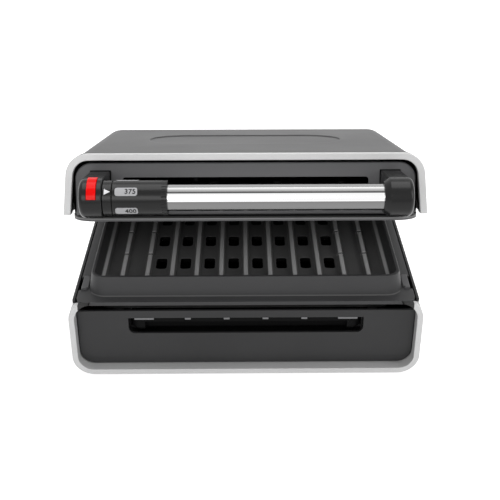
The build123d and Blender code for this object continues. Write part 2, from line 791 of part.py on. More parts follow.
# Lid cover: one moulded shell, crowned at its edges, with a shallow oval recess in its top
with BuildPart() as lid_cover:
    lid_lean = (cover_top - cover_bottom) * sin(radians(lid_draft)) / cos(radians(lid_draft))
    half_low = lid_low_width / 2 - cover_inset
    cover_front = lid_trim_depth + seat_gap
    with BuildSketch(level(cover_bottom)):
        plan(2 * half_low, cover_front - 2 * cover_rear_corner, lid_depth, cover_rear_corner)
    extrude(amount=cover_top - cover_bottom, taper=lid_draft)
    fillet(faces().sort_by(Axis.Z)[-1].edges(), lid_corner - cover_inset)
    with BuildSketch(across(cover_front)):
        Rectangle(2 * lid_low_width, 4 * lid_top)
    extrude(amount=4 * cover_rear_corner, mode=Mode.SUBTRACT)
    offset(amount=-cover_wall, openings=[faces().sort_by(Axis.Z)[0], faces().sort_by(Axis.Y)[0]])
    with BuildSketch(level(cover_top)):
        plan(recess_width, recess_front, recess_front + recess_depth, recess_corner)
    extrude(amount=-recess_sink, mode=Mode.SUBTRACT)
    for side in (-1, 1):
        with BuildSketch(along(side * tower_x - tower_thick / 2 - slide_gap)):
            with Locations((hinge_y, hinge_height)):
                Circle(tower_sweep)
        extrude(amount=tower_thick + 2 * slide_gap, mode=Mode.SUBTRACT)
        with BuildSketch(across(lid_depth - 3 * cover_wall)):
            with Locations((side * arm_x, arm_bracket_top / 2)):
                Rectangle(hub_length + 2 * slide_gap, arm_bracket_top)
        extrude(amount=-4 * cover_wall, mode=Mode.SUBTRACT)
save_on_lid(lid_cover, "lid_cover")

# Lid trim: a bright frame over the front edge of the lid, open below
with BuildPart() as lid_trim:
    with BuildSketch(across(0)):
        lid_outline(0, lid_trim_bottom, lid_corner)
        with BuildSketch(mode=Mode.SUBTRACT):
            lid_outline(lid_trim_face, lid_trim_bottom - 1, lid_corner - lid_trim_face)
    extrude(amount=-lid_trim_depth)
    chamfer(faces().sort_by(Axis.Y)[0].edges(), 0.4)
save_on_lid(lid_trim, "lid_trim")

# Lid panel: the recessed face behind the handle, with a vent slot and openings for the arms
with BuildPart() as lid_front_panel:
    with BuildSketch(across(lid_panel_recess)):
        with Locations((0, (frame_lip_top + panel_gap + lid_panel_top) / 2)):
            Rectangle(lid_panel_width, lid_panel_top - frame_lip_top - panel_gap)
        fillet(vertices().group_by(Axis.Y)[-1], lid_panel_corner)
        with BuildSketch(mode=Mode.SUBTRACT):
            with Locations((0, (lid_slot_low + lid_slot_high) / 2)):
                RectangleRounded(lid_slot_width, lid_slot_high - lid_slot_low, 3)
        for arm_centre in (left_arm_centre, right_arm_centre):
            with BuildSketch(mode=Mode.SUBTRACT):
                with Locations((arm_centre, (arm_low + arm_top) / 2)):
                    Rectangle(arm_width + 2 * arm_opening_gap, arm_top - arm_low + 2 * arm_opening_gap)
    extrude(amount=-panel_thick)
    chamfer(faces().sort_by(Axis.Y)[0].outer_wire().edges(), 0.9)
save_on_lid(lid_front_panel, "lid_front_panel")

# Lid frame: carries the upper plate, the panel, the handle's arms and the hinge arms
with BuildPart() as lid_frame:
    with BuildSketch(level(frame_bottom)):
        plan(frame_width, frame_front, frame_rear, frame_corner)
    extrude(amount=frame_lip_top - frame_bottom)
    with BuildSketch(level(frame_lip_top)):
        plan(frame_width, frame_wall_front, frame_rear, frame_corner - 6)
    extrude(amount=frame_top - frame_lip_top)
    with BuildSketch(level(frame_lip_top)):
        for arm_centre in (left_arm_centre, right_arm_centre):
            plan_box(arm_centre - pad_width / 2, arm_centre + pad_width / 2,
                     frame_wall_front, frame_wall_front + pad_thick)
    extrude(amount=pad_top - frame_lip_top)
    with BuildSketch(level(frame_bottom)):
        plan(frame_opening_width, frame_opening_front, frame_opening_rear, frame_corner - 10)
    extrude(amount=frame_top - frame_bottom, mode=Mode.SUBTRACT)
    fillet(faces().sort_by(Axis.Z)[0].outer_wire().edges(), 0.8)
    for side in (-1, 1):
        with BuildSketch(along(side * tower_x - tower_thick / 2 - slide_gap)):
            with Locations((hinge_y, hinge_height)):
                Circle(tower_sweep)
        extrude(amount=tower_thick + 2 * slide_gap, mode=Mode.SUBTRACT)
        with BuildSketch(level(frame_bottom)):
            notch_out = frame_opening_width / 2 + 2 * seat_gap + upper_latch_block + latch_travel
            plan_box(*sorted((side * frame_opening_width / 2.1, side * notch_out)),
                     upper_latch_front - slide_gap, upper_latch_front + latch_length + slide_gap)
        extrude(amount=frame_top - frame_bottom, mode=Mode.SUBTRACT)
        with BuildSketch(level(frame_top - latch_cap - seat_gap)):
            plan_box(*sorted((side * frame_opening_width / 2.1, side * frame_width)),
                     upper_latch_front - slide_gap, upper_latch_front + latch_length + slide_gap)
        extrude(amount=frame_top, mode=Mode.SUBTRACT)
        with BuildSketch(level(frame_bottom)):
            notch_in = arm_x - arm_flange_width - slide_gap
            notch_out = arm_x + hub_length / 2 + slide_gap
            plan_box(*sorted((side * notch_in, side * notch_out)), frame_rear - arm_seat_depth, frame_rear + 1)
        extrude(amount=frame_top - frame_bottom, mode=Mode.SUBTRACT)
        with BuildSketch(across(frame_rear - arm_seat_depth)):
            with Locations((side * arm_screw_x, arm_flange_height)):
                Circle(screw_radius + running_gap)
        extrude(amount=frame_rear - arm_seat_depth - frame_opening_rear, mode=Mode.SUBTRACT)
        with BuildSketch(level(frame_bottom)):
            plan_box(*sorted((side * latch_relief_in, side * frame_width)),
                     latch_front - 2, latch_front + latch_length + 2)
        extrude(amount=latch_relief, mode=Mode.SUBTRACT)
    for arm_centre in (left_arm_centre, right_arm_centre):
        with BuildSketch(across(frame_wall_front)):
            screw_pair(arm_centre, screw_radius + 2 * running_gap)
        extrude(amount=-pad_thick, mode=Mode.SUBTRACT)
save_on_lid(lid_frame, "lid_frame")

# Upper plate: a dished casting that closes down into the lower plate's pan
with BuildPart() as upper_plate:
    with BuildSketch(level(upper_flange_bottom)):
        plan(upper_flange_width, upper_flange_front, upper_flange_rear, frame_corner - 8)
    extrude(amount=upper_flange_thick)
    with BuildSketch(level(upper_face)):
        plan(upper_width, upper_front, upper_rear, upper_corner)
    extrude(amount=upper_flange_bottom - upper_face, taper=-upper_draft)
    fillet(faces().sort_by(Axis.Z)[0].edges(), 1.5)
    with BuildSketch(level(upper_back)):
        plan(upper_width - 2 * upper_wall, upper_front + upper_wall, upper_rear - upper_wall,
             upper_corner - upper_wall)
    extrude(amount=upper_flange_top - upper_back, taper=-upper_draft, mode=Mode.SUBTRACT)
    with BuildSketch(across(upper_front + 2)):
        for x in rib_x:
            with BuildLine():
                Polyline((x - rib_foot / 2, upper_face), (x - rib_crest / 2, upper_face - rib_height),
                         (x + rib_crest / 2, upper_face - rib_height), (x + rib_foot / 2, upper_face), close=True)
            make_face()
    extrude(amount=-(upper_rear - upper_front - 4))
save_on_lid(upper_plate, "upper_plate")

# Upper element: a single loop on the back of the plate
with BuildPart() as upper_element:
    loop_side = upper_width / 2 - upper_wall - element_radius - upper_loop_side
    terminal_end = upper_rear - upper_terminal_inset
    loop = [(-terminal_x, terminal_end), (-terminal_x, loop_rear), (-loop_side, loop_rear),
            (-loop_side, loop_front), (loop_side, loop_front), (loop_side, loop_rear),
            (terminal_x, loop_rear), (terminal_x, terminal_end)]
    with BuildLine() as upper_path:
        FilletPolyline(*[(x, front_y + depth, upper_element_height) for x, depth in loop], radius=element_bend)
    with BuildSketch(upper_path.line ^ 0):
        Circle(element_radius)
    sweep()
save_on_lid(upper_element, "upper_element")

# Upper reflector: covers the element, on the plate's flange
with BuildPart() as upper_reflector:
    with BuildSketch(level(upper_reflector_bottom)):
        plan(upper_width + 2 * cover_sheet_lap, upper_front - cover_sheet_lap, upper_rear + cover_sheet_lap,
             reflector_corner)
    extrude(amount=reflector_thick)
    with BuildSketch(level(upper_reflector_bottom + reflector_thick)):
        with Locations((0, front_y + (upper_front + upper_rear) / 2)):
            with GridLocations(ridge_pitch, 1, ridge_count, 1):
                SlotOverall(upper_rear - upper_front - 2 * ridge_end, ridge_width, rotation=90)
    extrude(amount=ridge_height)
save_on_lid(upper_reflector, "upper_reflector")

# Upper latches: thin slides beside the upper plate, with a nose under which its flange is caught
for side, hand in ((-1, "left"), (1, "right")):
    block_in = frame_opening_width / 2 + seat_gap
    flange_edge = upper_flange_width / 2
    with BuildPart() as upper_latch:
        with BuildSketch(level(frame_bottom + seat_gap)):
            plan_box(*sorted((side * block_in, side * (block_in + upper_latch_block))),
                     upper_latch_front, upper_latch_front + latch_length)
        extrude(amount=frame_top - frame_bottom - seat_gap)
        with BuildSketch(level(frame_top)):
            plan_box(*sorted((side * (flange_edge + seat_gap), side * (flange_edge + seat_gap + 0.9))),
                     upper_latch_front, upper_latch_front + latch_length)
        extrude(amount=upper_flange_thick + 2 * seat_gap + latch_cap)
        with BuildSketch(level(frame_top - latch_cap)):
            plan_box(*sorted((side * block_in, side * (flange_edge + seat_gap + 0.9))),
                     upper_latch_front, upper_latch_front + latch_length)
        extrude(amount=latch_cap)
        with BuildSketch(level(upper_flange_top + seat_gap)):
            plan_box(*sorted((side * (flange_edge - latch_nose), side * (flange_edge + seat_gap))),
                     upper_latch_front + 2, upper_latch_front + latch_length - 2)
        extrude(amount=latch_cap)
    save_on_lid(upper_latch, f"upper_latch_{hand}")

# Upper supports: ceramic blocks that hold the element on the plate
with BuildPart() as upper_supports:
    with BuildSketch(level(upper_back + seat_gap)):
        with Locations(*[(x, front_y + depth) for x in (-upper_support_x, upper_support_x)
                         for depth in (loop_front, loop_rear)]):
            Rectangle(support_size, support_length)
    extrude(amount=upper_reflector_bottom - upper_back - 2 * seat_gap)
    with BuildSketch(along(-upper_support_x - support_size)):
        with Locations(*[(front_y + depth, upper_element_height) for depth in (loop_front, loop_rear)]):
            Circle(element_radius + running_gap)
    extrude(amount=2 * (upper_support_x + support_size), mode=Mode.SUBTRACT)
save_on_lid(upper_supports, "upper_supports")

# Hinge arms: steel brackets from the shaft to the rear wall of the lid frame
for side, hand in ((-1, "left"), (1, "right")):
    flange_face = frame_rear - arm_seat_depth + seat_gap
    with BuildPart() as hinge_arm:
        with BuildSketch(along(side * arm_x - arm_thick / 2)):
            with BuildLine():
                Polyline((hinge_y - hub_radius + 1.5, hinge_height), (front_y + flange_face, arm_bracket_low),
                         (front_y + flange_face, arm_bracket_top), (front_y + lid_depth - 2, arm_bracket_top),
                         (hinge_y + hub_radius - 1, hinge_height), close=True)
            make_face()
        extrude(amount=arm_thick)
        with BuildSketch(along(side * arm_x - hub_length / 2)):
            with Locations((hinge_y, hinge_height)):
                Circle(hub_radius)
        extrude(amount=hub_length)
        with BuildSketch(across(flange_face)):
            with Locations((side * (arm_x - arm_flange_width / 2), arm_flange_height)):
                Rectangle(arm_flange_width, arm_bracket_top - arm_bracket_low)
        extrude(amount=-(arm_seat_depth - seat_gap))
        with BuildSketch(along(side * arm_x - hub_length / 2)):
            with Locations((hinge_y, hinge_height)):
                Circle(shaft_radius + running_gap)
        extrude(amount=hub_length, mode=Mode.SUBTRACT)
        with BuildSketch(across(flange_face)):
            with Locations((side * arm_screw_x, arm_flange_height)):
                Circle(screw_radius + 2 * running_gap)
        extrude(amount=-arm_seat_depth, mode=Mode.SUBTRACT)
    save_on_lid(hinge_arm, f"hinge_arm_{hand}")

# Left handle post: hollow, with a seat and a window for the indicator lens
with BuildPart() as handle_post_left:
    with BuildSketch(along(left_post_outer)):
        ring(post_radius)
    extrude(amount=left_post_inner - left_post_outer)
    fillet(faces().sort_by(Axis.X)[0].edges(), post_round)
    with BuildSketch(along(left_arm_centre - arm_width / 2)):
        arm_profile()
    extrude(amount=left_post_inner - left_arm_centre + arm_width / 2)
    chamfer(edges().filter_by(Axis.Y).group_by(Axis.Z)[-1], arm_bevel)
    with BuildSketch(along(left_post_inner)):
        ring(post_cavity_radius)
    extrude(amount=-post_cavity_depth, mode=Mode.SUBTRACT)
    with BuildSketch(along(left_post_inner)):
        ring(core_radius + running_gap)
    extrude(amount=-(post_cavity_depth + core_seat), mode=Mode.SUBTRACT)
    with BuildSketch(along(lens_left - seat_gap)):
        ring_slice(post_radius + 2, post_radius + lens_proud - lens_thick - seat_gap, lens_from - 1, lens_to + 1)
    extrude(amount=lens_right - lens_left + 2 * seat_gap, mode=Mode.SUBTRACT)
    with BuildSketch(across(handle_depth)):
        with Locations((lens_middle, handle_height + 5)):
            Rectangle(lens_right - lens_left - 2, 7)
    extrude(amount=post_radius, mode=Mode.SUBTRACT)
    with BuildSketch(across(frame_wall_front - seat_gap)):
        screw_pair(left_arm_centre, screw_radius + running_gap)
    extrude(amount=screw_length, mode=Mode.SUBTRACT)
save_on_lid(handle_post_left, "handle_post_left")

# Right handle post: its barrel narrows to a neck that takes the end of the grip tube
with BuildPart() as handle_post_right:
    with BuildSketch(along(right_post_inner + post_neck_length)):
        ring(post_radius)
    extrude(amount=right_post_outer - right_post_inner - post_neck_length)
    fillet(faces().sort_by(Axis.X)[-1].edges(), post_round)
    with Locations(Location((right_post_inner + post_neck_length / 2, handle_y, handle_height), (0, 90, 0))):
        Cone(post_neck_radius, post_radius, post_neck_length)
    with BuildSketch(along(right_arm_centre - arm_width / 2)):
        arm_profile()
    extrude(amount=arm_width)
    chamfer(edges().filter_by(Axis.Y).group_by(Axis.Z)[-1], arm_bevel)
    with BuildSketch(along(right_post_inner)):
        ring(tube_radius + running_gap)
    extrude(amount=tube_socket, mode=Mode.SUBTRACT)
    with BuildSketch(along(right_post_inner)):
        ring(core_radius + running_gap)
    extrude(amount=post_cavity_depth, mode=Mode.SUBTRACT)
    with BuildSketch(across(frame_wall_front - seat_gap)):
        screw_pair(right_arm_centre, screw_radius + running_gap)
    extrude(amount=screw_length, mode=Mode.SUBTRACT)
save_on_lid(handle_post_right, "handle_post_right")

# Indicator lens: a band of clear red plastic over the left post
with BuildPart() as indicator_lens:
    with BuildSketch(along(lens_left)):
        ring_slice(post_radius + lens_proud, post_radius + lens_proud - lens_thick, lens_from, lens_to)
    extrude(amount=lens_right - lens_left)
    fillet(edges().filter_by(Axis.X), 0.4)
save_on_lid(indicator_lens, "indicator_lens")

# Indicator board with its lamp, inside the left post
with BuildPart() as indicator_board:
    with BuildSketch(along(lens_left)):
        with Locations((handle_y - board_offset, handle_height)):
            Rectangle(board_thick, 13)
    extrude(amount=left_post_inner - sensor_inset - sensor_thick - seat_gap - lens_left)
    with BuildSketch(along(lens_middle - lamp_size / 2)):
        with Locations((handle_y - board_offset - board_thick, handle_height)):
            Rectangle(board_thick, lamp_size)
    extrude(amount=lamp_size)
save_on_lid(indicator_board, "indicator_board")

# Sensor ring that reads the dial, inside the left post
with BuildPart() as dial_sensor:
    with BuildSketch(along(left_post_inner - sensor_inset - sensor_thick)):
        ring(post_cavity_radius - seat_gap, core_radius + running_gap)
    extrude(amount=sensor_thick)
save_on_lid(dial_sensor, "dial_sensor")

# Core rod that ties the posts together
with BuildPart() as handle_core:
    core_left = left_post_inner - post_cavity_depth - core_seat + seat_gap
    with BuildSketch(along(core_left)):
        ring(core_radius)
    extrude(amount=right_post_inner + post_cavity_depth - seat_gap - core_left)
    chamfer(edges().filter_by(GeomType.CIRCLE), 0.6)
save_on_lid(handle_core, "handle_core")

# Grip tube of polished steel, and the bushes that centre it on the core
with BuildPart() as handle_tube:
    with BuildSketch(along(tube_left)):
        ring(tube_radius, tube_radius - tube_wall)
    extrude(amount=tube_right - tube_left)
save_on_lid(handle_tube, "handle_tube")

with BuildPart() as tube_bushes:
    for bush_x in (tube_left + 1, tube_right - 1 - bush_length):
        with BuildSketch(along(bush_x)):
            ring(tube_radius - tube_wall - running_gap, core_radius + running_gap)
        extrude(amount=bush_length)
save_on_lid(tube_bushes, "tube_bushes")

# Collar between the left post and the dial: it carries the pointer
with BuildPart() as pointer_collar:
    with BuildSketch(along(left_post_inner + seat_gap)):
        ring(dial_radius)
    extrude(amount=collar_length)
    chamfer(edges().filter_by(GeomType.CIRCLE), 0.4)
    with BuildSketch(along(left_post_inner + seat_gap)):
        ring(core_radius + running_gap)
    extrude(amount=collar_length, mode=Mode.SUBTRACT)
save_on_lid(pointer_collar, "pointer_collar")

# Temperature dial: a drum that turns on the core rod, with a fluted grip at its free end
with BuildPart() as temperature_dial:
    with BuildSketch(along(dial_left)):
        ring(dial_radius)
    extrude(amount=dial_right - dial_left)
    chamfer(edges().filter_by(GeomType.CIRCLE), 0.4)
    with BuildSketch(along(dial_right)):
        ring(tube_radius + seat_gap)
    extrude(amount=-(dial_right - dial_left - dial_web), mode=Mode.SUBTRACT)
    with BuildSketch(along(dial_left)):
        ring(core_radius + running_gap)
    extrude(amount=dial_web, mode=Mode.SUBTRACT)
    with BuildSketch(along(dial_right)):
        with Locations((handle_y, handle_height)):
            with PolarLocations(dial_radius, grip_flutes):
                Circle(flute_radius)
    extrude(amount=-flute_length, mode=Mode.SUBTRACT)
save_on_lid(temperature_dial, "temperature_dial")

# Control board over the upper reflector, its pegs, and the probe that reads the upper plate
with BuildPart() as control_board:
    with BuildSketch(level(board_height)):
        plan_box(-board_x_out, -board_x_out + board_length, board_front, board_front + board_width)
    extrude(amount=board_thick)
    with BuildSketch(level(board_height + board_thick)):
        with Locations((-board_x_out + board_length / 2, front_y + board_front + board_width / 2)):
            with GridLocations(board_length / 2, board_width / 2, 2, 2):
                Rectangle(10, 8)
    extrude(amount=5)
save_on_lid(control_board, "control_board")

with BuildPart() as board_pegs:
    with BuildSketch(level(board_height - seat_gap)):
        with Locations((-board_x_out + board_length / 2, front_y + board_front + board_width / 2)):
            with GridLocations(board_length - 8, board_width - 8, 2, 2):
                Circle(3)
    extrude(amount=-(board_height - upper_reflector_bottom - reflector_thick - 2 * seat_gap))
save_on_lid(board_pegs, "board_pegs")

with BuildPart() as temperature_probe:
    with BuildSketch(level(upper_back + seat_gap)):
        with Locations((0, front_y + probe_depth)):
            Circle(4)
    extrude(amount=upper_reflector_bottom - upper_back - 2 * seat_gap)
    chamfer(faces().sort_by(Axis.Z)[0].edges(), 0.6)
save_on_lid(temperature_probe, "temperature_probe")

# Screws of the lid: through the frame's pads into the handle arms, and through the hinge arms
with BuildPart() as lid_screws:
    for arm_centre in (left_arm_centre, right_arm_centre):
        with BuildSketch(across(frame_wall_front + pad_thick)):
            screw_pair(arm_centre, screw_head_radius)
        extrude(amount=-screw_head_height)
        with BuildSketch(across(frame_wall_front + pad_thick)):
            screw_pair(arm_centre, screw_radius)
        extrude(amount=screw_length)
    for side in (-1, 1):
        with BuildSketch(across(frame_rear)):
            with Locations((side * arm_screw_x, arm_flange_height)):
                Circle(screw_head_radius)
        extrude(amount=-screw_head_height)
        with BuildSketch(across(frame_rear)):
            with Locations((side * arm_screw_x, arm_flange_height)):
                Circle(screw_radius)
        extrude(amount=frame_rear - frame_opening_rear - seat_gap)
save_on_lid(lid_screws, "lid_screws")
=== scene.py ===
from math import cos, radians, sin

import bpy
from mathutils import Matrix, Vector


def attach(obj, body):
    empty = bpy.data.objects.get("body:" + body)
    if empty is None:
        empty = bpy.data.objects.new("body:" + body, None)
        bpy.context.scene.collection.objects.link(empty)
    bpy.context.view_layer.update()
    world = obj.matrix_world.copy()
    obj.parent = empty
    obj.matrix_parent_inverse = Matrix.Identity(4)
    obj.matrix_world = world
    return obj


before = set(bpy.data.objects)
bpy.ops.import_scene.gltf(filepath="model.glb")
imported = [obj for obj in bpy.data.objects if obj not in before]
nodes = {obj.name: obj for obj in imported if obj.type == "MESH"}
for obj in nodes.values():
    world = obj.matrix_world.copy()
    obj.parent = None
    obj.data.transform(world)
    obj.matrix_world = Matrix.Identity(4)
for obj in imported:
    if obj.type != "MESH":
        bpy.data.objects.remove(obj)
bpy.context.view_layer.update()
print("frame loaded:", len(nodes), "nodes")

# Camera: where the photograph was taken from, in metres and degrees
camera = {
    "place": (-0.00339, -0.86769, 0.55797),
    "turn": (60.58, 0.0, -0.547),
    "lens": 67.68,
    "sensor": 36.0,
    "near": 0.05,
}

# Studio: a pale floor, a white surround and three soft lamps
studio = {
    "floorSize": 12.0,
    "floorColor": (0.86, 0.86, 0.86, 1.0),
    "floorGlow": 0.69,          # added for the camera and in reflections only
    "surroundSeen": 1.0,
    "surroundLight": 0.34,      # what the surround adds to the light on the object
    "lampAim": (0.0, 0.0, 0.1),
}
lamps = {
    "topLamp": {"place": (0.0, 0.15, 1.5), "size": (1.5, 1.1), "power": 13.0},
    "frontLamp": {"place": (-0.5, -1.7, 1.0), "size": (1.3, 0.8), "power": 10.0},
    "sideLamp": {"place": (1.5, -0.7, 0.8), "size": (0.7, 1.0), "power": 7.0},
}


def selectNone():
    bpy.ops.object.select_all(action="DESELECT")


def addCamera():
    data = bpy.data.cameras.new("camera")
    data.lens = camera["lens"]
    data.sensor_width = camera["sensor"]
    data.clip_start = camera["near"]
    view = bpy.data.objects.new("camera", data)
    bpy.context.scene.collection.objects.link(view)
    view.location = camera["place"]
    view.rotation_euler = [radians(angle) for angle in camera["turn"]]
    bpy.context.scene.camera = view


def addLamp(name, values):
    data = bpy.data.lights.new(name, "AREA")
    data.shape = "RECTANGLE"
    data.size, data.size_y = values["size"]
    data.energy = values["power"]
    lamp = bpy.data.objects.new(name, data)
    bpy.context.scene.collection.objects.link(lamp)
    lamp.location = values["place"]
    towards = Vector(studio["lampAim"]) - Vector(values["place"])
    lamp.rotation_euler = towards.to_track_quat("-Z", "Y").to_euler()


# 1 for what the camera sees, also in reflections and through glass, and 0 for light on the object
def addSeenMask(tree):
    path = tree.nodes.new("ShaderNodeLightPath")
    seen = path.outputs["Is Camera Ray"]
    for ray in ("Is Glossy Ray", "Is Transmission Ray"):
        either = tree.nodes.new("ShaderNodeMath")
        either.operation = "MAXIMUM"
        tree.links.new(seen, either.inputs[0])
        tree.links.new(path.outputs[ray], either.inputs[1])
        seen = either.outputs[0]
    return seen


def addSurround():
    world = bpy.data.worlds.new("surround")
    world.use_nodes = True
    tree = world.node_tree
    back = tree.nodes["Background"]
    back.inputs["Color"].default_value = (1.0, 1.0, 1.0, 1.0)
    strength = addRange(tree, addSeenMask(tree), studio["surroundLight"], studio["surroundSeen"])
    tree.links.new(strength, back.inputs["Strength"])
    bpy.context.scene.world = world


def addFloor():
    selectNone()
    bpy.ops.mesh.primitive_plane_add(size=studio["floorSize"], location=(0, 0, 0))
    floor = bpy.context.object
    floor.name = "floor"
    material = bpy.data.materials.new("paleFloor")
    material.use_nodes = True
    tree = material.node_tree
    tree.nodes.remove(tree.nodes["Principled BSDF"])
    paint = tree.nodes.new("ShaderNodeBsdfDiffuse")
    paint.inputs["Color"].default_value = studio["floorColor"]
    glow = tree.nodes.new("ShaderNodeEmission")
    strength = tree.nodes.new("ShaderNodeMath")
    strength.operation = "MULTIPLY"
    strength.inputs[1].default_value = studio["floorGlow"]
    tree.links.new(addSeenMask(tree), strength.inputs[0])
    tree.links.new(strength.outputs[0], glow.inputs["Strength"])
    both = tree.nodes.new("ShaderNodeAddShader")
    tree.links.new(paint.outputs[0], both.inputs[0])
    tree.links.new(glow.outputs[0], both.inputs[1])
    tree.links.new(both.outputs[0], tree.nodes["Material Output"].inputs["Surface"])
    floor.data.materials.append(material)


# Node helpers
def addRange(tree, value, low, high):
    node = tree.nodes.new("ShaderNodeMapRange")
    node.inputs["To Min"].default_value = low
    node.inputs["To Max"].default_value = high
    tree.links.new(value, node.inputs["Value"])
    return node.outputs["Result"]


def addColorMix(tree, factor, first, second):
    node = tree.nodes.new("ShaderNodeMix")
    node.data_type = "RGBA"
    tree.links.new(factor, node.inputs["Factor"])
    for value, socket in ((first, node.inputs["A"]), (second, node.inputs["B"])):
        if isinstance(value, bpy.types.NodeSocket):
            tree.links.new(value, socket)
        else:
            socket.default_value = value
    return node.outputs["Result"]


def addGroup(tree, group):
    node = tree.nodes.new("ShaderNodeGroup")
    node.node_tree = group
    return node


# A mask from 0 at start to 1 at end, measured along a direction
def addAlong(tree, place, direction, start, end, blend="SMOOTHSTEP"):
    dot = tree.nodes.new("ShaderNodeVectorMath")
    dot.operation = "DOT_PRODUCT"
    dot.inputs[1].default_value = direction
    tree.links.new(place, dot.inputs[0])
    ramp = tree.nodes.new("ShaderNodeMapRange")
    ramp.interpolation_type = blend
    ramp.inputs["From Min"].default_value = start
    ramp.inputs["From Max"].default_value = end
    tree.links.new(dot.outputs["Value"], ramp.inputs["Value"])
    return ramp.outputs["Result"]


def multiply(tree, masks):
    result = masks[0]
    for mask in masks[1:]:
        node = tree.nodes.new("ShaderNodeMath")
        node.operation = "MULTIPLY"
        tree.links.new(result, node.inputs[0])
        tree.links.new(mask, node.inputs[1])
        result = node.outputs[0]
    return result


def grey(value, tint=1.0):
    return (value, value, value * tint, 1.0)


bpy.context.scene.view_settings.view_transform = "Standard"
addCamera()
for lampName, lampValues in lamps.items():
    addLamp(lampName, lampValues)
addSurround()
addFloor()
print("camera, lamps and floor placed")

# Shared effects: a moulded or cast grain, soft edges with a mask that lightens them from use and as a
# painted highlight, and fine scratches
effects = {
    "fineScale": 900.0, "fineDetail": 3.0, "fineRoughness": 0.6,
    "blotchScale": 14.0, "blotchDetail": 4.0, "blotchRoughness": 0.55,
    "edgeRadius": 0.0005, "edgeSamples": 6,
    "wearAndHighlightStart": 0.995, "wearAndHighlightFull": 0.8,        # as the cosine of the turn at an edge
    "scratchStretch": (6.0, 900.0, 900.0), "scratchDetail": 4.0,
}


def newGroup(name, inputs, outputs):
    group = bpy.data.node_groups.new(name, "ShaderNodeTree")
    for label, kind, value in inputs:
        socket = group.interface.new_socket(name=label, in_out="INPUT", socket_type=kind)
        if value is not None:
            socket.default_value = value
    for label, kind in outputs:
        group.interface.new_socket(name=label, in_out="OUTPUT", socket_type=kind)
    start = group.nodes.new("NodeGroupInput")
    end = group.nodes.new("NodeGroupOutput")
    return group, start, end


def makeGrainGroup():
    group, start, end = newGroup(
        "mouldedGrain",
        [("Vector", "NodeSocketVector", None), ("Scale", "NodeSocketFloat", effects["fineScale"]),
         ("Blotch Scale", "NodeSocketFloat", effects["blotchScale"])],
        [("Height", "NodeSocketFloat"), ("Blotch", "NodeSocketFloat")])
    for kind, scale, output in (("fine", "Scale", "Height"), ("blotch", "Blotch Scale", "Blotch")):
        noise = group.nodes.new("ShaderNodeTexNoise")
        noise.inputs["Detail"].default_value = effects[kind + "Detail"]
        noise.inputs["Roughness"].default_value = effects[kind + "Roughness"]
        group.links.new(start.outputs["Vector"], noise.inputs["Vector"])
        group.links.new(start.outputs[scale], noise.inputs["Scale"])
        group.links.new(noise.outputs["Fac"], end.inputs[output])
    return group


def makeEdgeGroup():
    group, start, end = newGroup(
        "softEdge",
        [("Radius", "NodeSocketFloat", effects["edgeRadius"])],
        [("Normal", "NodeSocketVector"), ("Edge", "NodeSocketFloat")])
    bevel = group.nodes.new("ShaderNodeBevel")
    bevel.samples = effects["edgeSamples"]
    geometry = group.nodes.new("ShaderNodeNewGeometry")
    dot = group.nodes.new("ShaderNodeVectorMath")
    dot.operation = "DOT_PRODUCT"
    # The edge mask lightens edges from use and also as a painted highlight
    mask = group.nodes.new("ShaderNodeMapRange")
    mask.inputs["From Min"].default_value = effects["wearAndHighlightStart"]
    mask.inputs["From Max"].default_value = effects["wearAndHighlightFull"]
    group.links.new(start.outputs["Radius"], bevel.inputs["Radius"])
    group.links.new(bevel.outputs["Normal"], dot.inputs[0])
    group.links.new(geometry.outputs["Normal"], dot.inputs[1])
    group.links.new(dot.outputs["Value"], mask.inputs["Value"])
    group.links.new(bevel.outputs["Normal"], end.inputs["Normal"])
    group.links.new(mask.outputs["Result"], end.inputs["Edge"])
    return group


def makeScratchGroup():
    group, start, end = newGroup(
        "fineScratches",
        [("Vector", "NodeSocketVector", None),
         ("Stretch", "NodeSocketVector", effects["scratchStretch"])],
        [("Height", "NodeSocketFloat")])
    mapping = group.nodes.new("ShaderNodeMapping")
    noise = group.nodes.new("ShaderNodeTexNoise")
    noise.inputs["Scale"].default_value = 1.0
    noise.inputs["Detail"].default_value = effects["scratchDetail"]
    group.links.new(start.outputs["Vector"], mapping.inputs["Vector"])
    group.links.new(start.outputs["Stretch"], mapping.inputs["Scale"])
    group.links.new(mapping.outputs["Vector"], noise.inputs["Vector"])
    group.links.new(noise.outputs["Fac"], end.inputs["Height"])
    return group


grainGroup = makeGrainGroup()
edgeGroup = makeEdgeGroup()
scratchGroup = makeScratchGroup()
print("shared effects made")


def newMaterial(name):
    material = bpy.data.materials.new(name)
    material.use_nodes = True
    tree = material.node_tree
    place = tree.nodes.new("ShaderNodeTexCoord").outputs["Object"]
    return material, tree, tree.nodes["Principled BSDF"], place


def addGrain(tree, place, scale, blotchScale=effects["blotchScale"]):
    grain = addGroup(tree, grainGroup)
    grain.inputs["Scale"].default_value = scale
    grain.inputs["Blotch Scale"].default_value = blotchScale
    tree.links.new(place, grain.inputs["Vector"])
    return grain


def addScratches(tree, place, stretch):
    scratches = addGroup(tree, scratchGroup)
    scratches.inputs["Stretch"].default_value = stretch
    tree.links.new(place, scratches.inputs["Vector"])
    return scratches.outputs["Height"]


def addSoftEdge(tree, radius):
    softEdge = addGroup(tree, edgeGroup)
    softEdge.inputs["Radius"].default_value = radius
    return softEdge


def addBump(tree, shader, height, depth, normal):
    bump = tree.nodes.new("ShaderNodeBump")
    bump.inputs["Distance"].default_value = depth
    tree.links.new(height, bump.inputs["Height"])
    tree.links.new(normal, bump.inputs["Normal"])
    tree.links.new(bump.outputs["Normal"], shader.inputs["Normal"])
